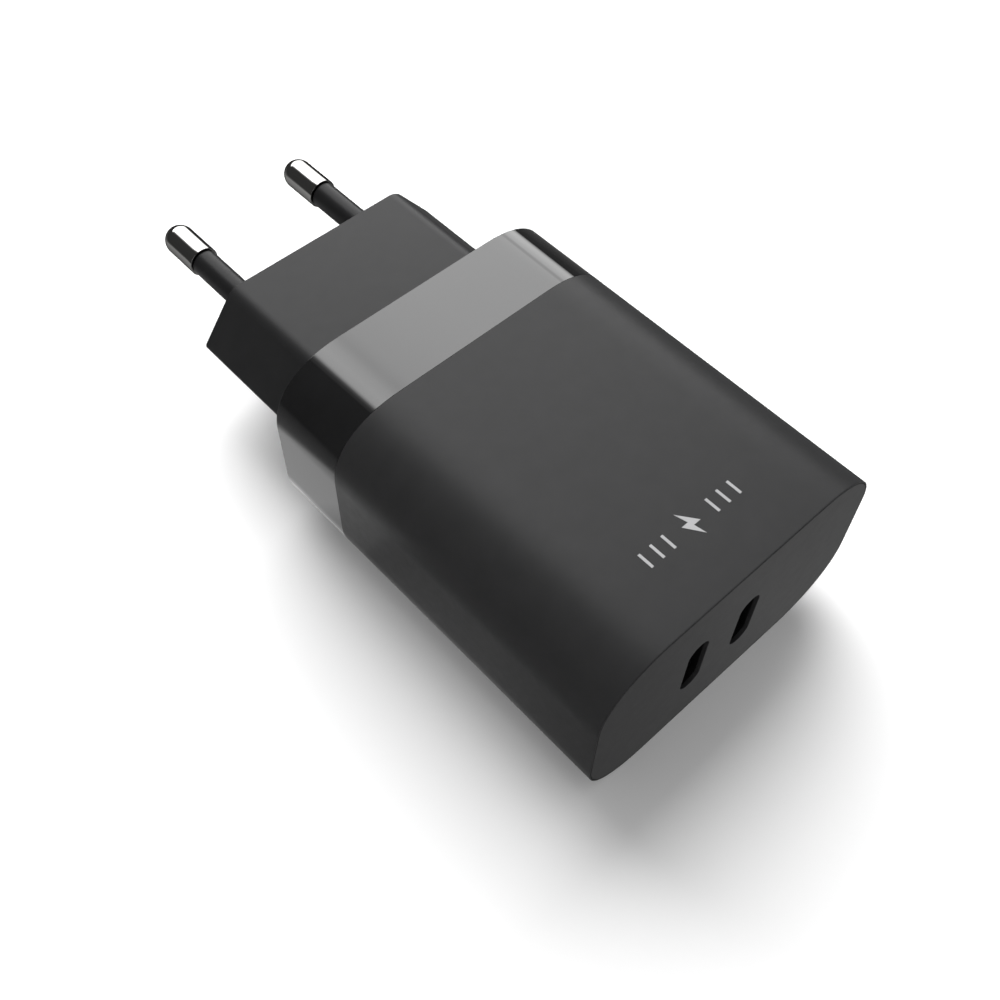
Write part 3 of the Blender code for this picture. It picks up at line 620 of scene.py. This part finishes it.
def painted_shade_lining(side, centre, shell_size, shell_front, materials):
    """Painted shade: a black lining between the panel's skin and the receptacle's mouth, darkening
    the pocket.
    """
    ease = 0.04 * MM
    start, end = FRONT_Y + PANEL_SKIN + 0.02 * MM, shell_front - 0.03 * MM
    grow = (shell_size[0] - SLOT_WIDTH) / 2 + 0.1 * MM
    profile = [(-grow, start), (-grow, end), (-ease, end), (0.0, end - ease)]
    profile += [(0.0, start + ease), (-ease, start)]
    shape = bmesh.new()
    rings = [at_y(stadium(SLOT_WIDTH, SLOT_HEIGHT, centre, inset), y) for inset, y in profile]
    skin(shape, rings, closed=True)
    finish_mesh(f"port_gasket_{side}", shape, materials["tongue_black"], None)


def tongue(side, centre, materials):
    """The tongue and its base block, and a row of contact pads on both of its faces."""
    low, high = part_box(f"usb_tongue_{side}")
    half_thickness, half_height = 0.35 * MM, 3.3 * MM
    ease = 0.12 * MM
    base_y = low.y + 5.2 * MM
    base_size = (2.4 * MM, 8.2 * MM)
    base_edge = 0.1 * MM

    def plate_ring(inset, y):
        corners = port_corners(centre, (half_thickness - inset, half_height - inset))
        return at_y(rounded_polygon(corners, [ease] * 4, 4), y)

    def base_ring(inset, y):
        return at_y(stadium(*base_size, centre, inset), y)

    shape = bmesh.new()
    plate = [plate_ring(ease, low.y), plate_ring(0.0, low.y + 3 * ease), plate_ring(0.0, base_y)]
    block = [base_ring(base_edge, base_y), base_ring(0.0, base_y + base_edge)]
    block += [base_ring(0.0, high.y)]
    for rings in (plate, block):
        loops = skin(shape, rings)
        fill(shape, [loops[0]])
        fill(shape, [loops[-1]])
    name, node = f"port_tongue_{side}", f"usb_tongue_{side}"
    finish_mesh(name, shape, materials["tongue_black"], node)
    contacts = bmesh.new()
    size = (0.03 * MM, 3.4 * MM, 0.27 * MM)
    for face in (-1, 1):
        x = centre + face * (half_thickness + 0.012 * MM)
        for index in range(TONGUE_CONTACTS):
            z = PORT_Z + (index - (TONGUE_CONTACTS - 1) / 2) * CONTACT_PITCH
            pad = Vector((x, low.y + 2.6 * MM, z))
            made = bmesh.ops.create_cube(contacts, size=1.0, matrix=Matrix.Translation(pad))
            for vert in made["verts"]:
                vert.co = pad + Vector(a * b for a, b in zip(vert.co - pad, size))
    bmesh.ops.bevel(contacts, geom=contacts.edges[:], offset=0.01 * MM, segments=1, affect="EDGES")
    finish_mesh(f"port_contacts_{side}", contacts, materials["brass"], None)


def printed_mark(materials):
    """A generic row of plain bars and a small bolt, as a thin layer of pale ink."""
    height = BODY_HEIGHT + 0.004 * MM
    thickness = 0.006 * MM
    centre_y = -35.9 * MM
    shapes = []
    half_width, half_length = 0.16 * MM, 0.95 * MM
    corners = ((-1, -1), (1, -1), (1, 1), (-1, 1))
    for x in (-6.8 * MM, -5.2 * MM, -3.6 * MM, 2.8 * MM, 4.4 * MM, 6.0 * MM):
        shapes.append([(x + a * half_width, b * half_length) for a, b in corners])
    bolt = [(0.35, -1.8), (-1.05, 0.25), (-0.15, 0.25), (-0.55, 1.8), (1.05, -0.35), (0.1, -0.35)]
    shapes.append([(x * MM - 0.4 * MM, y * MM) for x, y in bolt])
    shape = bmesh.new()
    for outline in shapes:
        low = [shape.verts.new((x, centre_y + y, height - thickness)) for x, y in outline]
        high = [shape.verts.new((x, centre_y + y, height + thickness)) for x, y in outline]
        bridge(shape, low, high)
        fill(shape, [low])
        fill(shape, [high])
    finish_mesh("printed_mark", shape, materials["print"], None, 20)


def paint_inner_nodes(materials):
    """Gives each CAD node that is still shown the procedural material of its slot."""
    slots = {entry["node"]: entry["material_slot"] for entry in frame["record"]["subparts"]}
    for name, obj in frame["nodes"].items():
        if obj.hide_render:
            continue
        slot = slots.get(name)
        for index in range(max(1, len(obj.material_slots))):
            if index >= len(obj.data.materials):
                obj.data.materials.append(materials[slot])
            else:
                obj.data.materials[index] = materials[slot]


# Studio


KEY_MIDDLE = Vector((0.44, 0.611, 0.657)).normalized()
KEY_ACROSS = Vector((0.851, -0.045, -0.524)).normalized()
KEY_SIZE = (1.2, 0.9)
KEY_DISTANCE = 0.8
KEY_RADIANCE = 6.2
FILL_DIRECTION = Vector((-0.72, -0.60, 0.35))
FILL_ACROSS = Vector((0, 0, 1))
FILL_SIZE = (0.7, 0.9)
FILL_DISTANCE = 0.9
FILL_RADIANCE = 0.8
WORLD_DIFFUSE = 0.45
WORLD_GLOSSY = 0.09
WORLD_SEEN = 0.92
FLOOR_REACH = 6.0
FLOOR_ALBEDO = 0.86
GLOW_START = 0.45
GLOW_END = 2.0
# Glow of the painted reflection cards at the side and front
PAINTED_REFLECTION_LEVEL = 0.50


def floor():
    """A plain pale floor that glows a little far out, so that it meets the background."""
    material = bpy.data.materials.new("floor_white")
    material.use_nodes = True
    shader = material.node_tree.nodes["Principled BSDF"]
    shader.inputs["Base Color"].default_value = (FLOOR_ALBEDO, FLOOR_ALBEDO, FLOOR_ALBEDO, 1)
    shader.inputs["Roughness"].default_value = 0.9
    shader.inputs["Specular IOR Level"].default_value = 0.1
    shader.inputs["Emission Color"].default_value = (1, 1, 1, 1)
    nodes, links = material.node_tree.nodes, material.node_tree.links
    place = nodes.new("ShaderNodeTexCoord")
    distance = nodes.new("ShaderNodeVectorMath")
    distance.operation = "LENGTH"
    glow = nodes.new("ShaderNodeMapRange")
    glow.interpolation_type = "SMOOTHSTEP"
    glow.inputs["From Min"].default_value = GLOW_START
    glow.inputs["From Max"].default_value = GLOW_END
    glow.inputs["To Max"].default_value = WORLD_SEEN - FLOOR_ALBEDO * WORLD_DIFFUSE
    links.new(place.outputs["Object"], distance.inputs[0])
    links.new(distance.outputs["Value"], glow.inputs["Value"])
    links.new(glow.outputs["Result"], shader.inputs["Emission Strength"])
    shape = bmesh.new()
    corners = ((-1, -1), (1, -1), (1, 1), (-1, 1))
    shape.faces.new([shape.verts.new((x * FLOOR_REACH, y * FLOOR_REACH, 0.0)) for x, y in corners])
    mesh = bpy.data.meshes.new("studio_floor")
    shape.to_mesh(mesh)
    shape.free()
    mesh.materials.append(material)
    obj = bpy.data.objects.new("studio_floor", mesh)
    # Reflections don't see this floor: the painted reflection cards stand in for it.
    obj.visible_glossy = False
    bpy.context.scene.collection.objects.link(obj)


def soft_panel(name, direction, across, size, radiance, distance, fade=None):
    """A rectangular softbox facing the charger: across is its own X.

    fade lists (place along X from 0 to 1, share of the radiance)."""
    normal = direction.normalized()
    axis_x = (across - across.dot(normal) * normal).normalized()
    axis_y = normal.cross(axis_x)
    light = bpy.data.lights.new(name, "AREA")
    light.shape = "RECTANGLE"
    light.size, light.size_y = size
    light.energy = radiance * math.pi * size[0] * size[1]
    if fade:
        light.use_nodes = True
        nodes, links = light.node_tree.nodes, light.node_tree.links
        where = nodes.new("ShaderNodeNewGeometry")
        parts = nodes.new("ShaderNodeSeparateXYZ")
        ramp = nodes.new("ShaderNodeValToRGB")
        set_stops(ramp, [grey_stop(place, share) for place, share in fade])
        links.new(where.outputs["Parametric"], parts.inputs[0])
        links.new(parts.outputs["X"], ramp.inputs["Fac"])
        links.new(ramp.outputs["Color"], nodes["Emission"].inputs["Color"])
    obj = bpy.data.objects.new(name, light)
    rotation = Matrix((axis_x, axis_y, normal)).transposed().to_4x4()
    place = normal * distance + Vector((0, 0, AXIS_Z))
    obj.matrix_world = Matrix.Translation(place) @ rotation
    bpy.context.scene.collection.objects.link(obj)


def emission_material(name, level, fades=()):
    """A plain glow; each fade is a direction and a list of (distance along it, share)."""
    material = bpy.data.materials.new(name)
    material.use_nodes = True
    nodes, links = material.node_tree.nodes, material.node_tree.links
    nodes.remove(nodes["Principled BSDF"])
    glow = nodes.new("ShaderNodeEmission")
    where = nodes.new("ShaderNodeTexCoord")
    total = None
    for direction, stops in fades:
        first, last = stops[0][0], stops[-1][0]
        along = nodes.new("ShaderNodeVectorMath")
        along.operation = "DOT_PRODUCT"
        along.inputs[1].default_value = direction
        span = nodes.new("ShaderNodeMapRange")
        span.inputs["From Min"].default_value = first
        span.inputs["From Max"].default_value = last
        ramp = nodes.new("ShaderNodeValToRGB")
        length = last - first
        set_stops(ramp, [grey_stop((place - first) / length, share) for place, share in stops])
        product = nodes.new("ShaderNodeMath")
        product.operation = "MULTIPLY"
        product.inputs[1].default_value = level
        links.new(where.outputs["Object"], along.inputs[0])
        links.new(along.outputs["Value"], span.inputs["Value"])
        links.new(span.outputs["Result"], ramp.inputs["Fac"])
        links.new(ramp.outputs["Color"], product.inputs[0])
        if total is not None:
            links.new(total, product.inputs[1])
        total = product.outputs["Value"]
    glow.inputs["Strength"].default_value = level
    if total is not None:
        links.new(total, glow.inputs["Strength"])
    links.new(glow.outputs["Emission"], nodes["Material Output"].inputs["Surface"])
    return material


def painted_reflection_card(name, low, high, z, material):
    """A glowing card that only reflections see, lying just above the floor: a painted reflection.
    """
    mesh = bpy.data.meshes.new(name)
    corners = [(low[0], low[1], z), (high[0], low[1], z)]
    corners += [(high[0], high[1], z), (low[0], high[1], z)]
    mesh.from_pydata(corners, [], [(0, 1, 2, 3)])
    mesh.materials.append(material)
    obj = bpy.data.objects.new(name, mesh)
    obj.visible_camera = False
    obj.visible_diffuse = False
    obj.visible_shadow = False
    obj.visible_transmission = False
    bpy.context.scene.collection.objects.link(obj)


def reflection_glow_cards():
    """Painted reflections in place of the floor: glowing cards, dark, with painted light patches
    at the left and front.
    """
    across, along, slanted = (1, 0, 0), (0, 1, 0), (1, -1, 0)
    fade = [(-0.130, 0.08), (-0.075, 0.22), (-0.040, 0.30), (-0.010, 0.30), (0.020, 0.14)]
    fade += [(0.130, 0.12)]
    far = emission_material("card_far", 1.0, [(across, fade)])
    painted_reflection_card("painted_reflection_far", (-0.6, -0.6), (0.6, 0.6), 0.00010, far)
    fade = [(-0.058, 0.30), (-0.0535, 0.33), (-0.049, 0.54), (-0.047, 0.66), (-0.0435, 0.98)]
    fade += [(-0.028, 0.96), (-0.024, 0.70), (-0.018, 0.55)]
    left = emission_material("card_left", 1.0, [(slanted, fade)])
    painted_reflection_card("painted_reflection_left", (-0.045, -0.0045), (-0.010, 0.030), 0.00015, left)
    fade = [(-0.040, 0.48), (-0.031, 0.82), (-0.0235, 0.96), (-0.0205, 1.6), (-0.010, 1.6)]
    fade_along = [(-0.060, 0.30), (-0.040, 0.50), (-0.025, 0.82), (-0.016, 0.82), (-0.0045, 0.62)]
    side = emission_material("card_side", PAINTED_REFLECTION_LEVEL, [(across, fade), (along, fade_along)])
    painted_reflection_card("painted_reflection_side", (-0.040, -0.060), (-0.010, -0.0045), 0.00015, side)
    fade = [(-0.090, 0.22), (-0.030, 0.46), (-0.005, 0.66), (0.012, 1.0), (0.060, 1.0)]
    fade += [(0.160, 0.7)]
    fade_along = [(-0.240, 0.35), (-0.100, 0.75), (-0.060, 1.0), (-0.0430, 1.0)]
    front = emission_material("card_front", PAINTED_REFLECTION_LEVEL, [(across, fade), (along, fade_along)])
    painted_reflection_card("painted_reflection_front", (-0.090, -0.240), (0.160, -0.0430), 0.00020, front)
    rear = emission_material("card_rear", 0.7)
    painted_reflection_card("painted_reflection_rear", (-0.060, 0.045), (0.008, 0.080), 0.00015, rear)


def studio():
    """The key with its stepped brightness, the fill, the painted reflection cards and the
    background.
    """
    fade = [(0.0, 0.02), (0.05, 0.06), (0.083, 0.20), (0.105, 0.58), (0.135, 0.96)]
    fade += [(0.165, 1.03), (0.25, 1.07), (0.345, 0.97), (0.385, 0.88), (0.405, 0.83)]
    fade += [(0.4175, 0.80), (0.4245, 0.89), (0.4475, 0.935), (0.475, 0.955), (0.535, 0.955)]
    fade += [(0.607, 0.90), (0.70, 0.86), (0.720, 0.66), (0.748, 0.66), (0.772, 0.85)]
    fade += [(0.86, 0.87), (0.91, 0.82), (0.94, 0.70), (0.965, 0.46), (1.0, 0.20)]
    soft_panel("key", KEY_MIDDLE, KEY_ACROSS, KEY_SIZE, KEY_RADIANCE, KEY_DISTANCE, fade)
    soft_panel("fill_left", FILL_DIRECTION, FILL_ACROSS, FILL_SIZE, FILL_RADIANCE, FILL_DISTANCE)
    reflection_glow_cards()
    world = bpy.data.worlds.new("studio_world")
    bpy.context.scene.world = world
    world.use_nodes = True
    nodes, links = world.node_tree.nodes, world.node_tree.links
    background = nodes["Background"]
    background.inputs["Color"].default_value = (1, 1, 1, 1)
    path = nodes.new("ShaderNodeLightPath")
    ray_levels = (("Is Diffuse Ray", WORLD_DIFFUSE), ("Is Glossy Ray", WORLD_GLOSSY),
                  ("Is Camera Ray", WORLD_SEEN))
    total = None
    for output, level in ray_levels:
        part = nodes.new("ShaderNodeMath")
        part.operation = "MULTIPLY_ADD"
        part.inputs[1].default_value = level
        part.inputs[2].default_value = 0.0
        links.new(path.outputs[output], part.inputs[0])
        if total is not None:
            links.new(total, part.inputs[2])
        total = part.outputs["Value"]
    links.new(total, background.inputs["Strength"])


# Camera: its turn is in degrees, its lens and sensor in millimetres of film

CAMERA_PLACE = (-58.94 * MM, -68.84 * MM, 121.89 * MM)
CAMERA_TURN = (34.245, -1.117, -42.876)
CAMERA_LENS = 43.23
CAMERA_SENSOR = 36.0


def camera():
    data = bpy.data.cameras.new("camera")
    data.lens = CAMERA_LENS
    data.sensor_width = CAMERA_SENSOR
    data.clip_start = 0.005
    data.clip_end = 50.0
    obj = bpy.data.objects.new("camera", data)
    obj.location = CAMERA_PLACE
    obj.rotation_euler = [math.radians(angle) for angle in CAMERA_TURN]
    bpy.context.scene.collection.objects.link(obj)
    bpy.context.scene.camera = obj


materials = make_materials()
housing(materials)
front_plate(materials)
collar(materials)
plug(materials)
pins(materials)
pin_sleeves(materials)
receptacles(materials)
printed_mark(materials)
paint_inner_nodes(materials)
floor()
studio()
camera()
bpy.context.scene.view_settings.view_transform = "Standard"
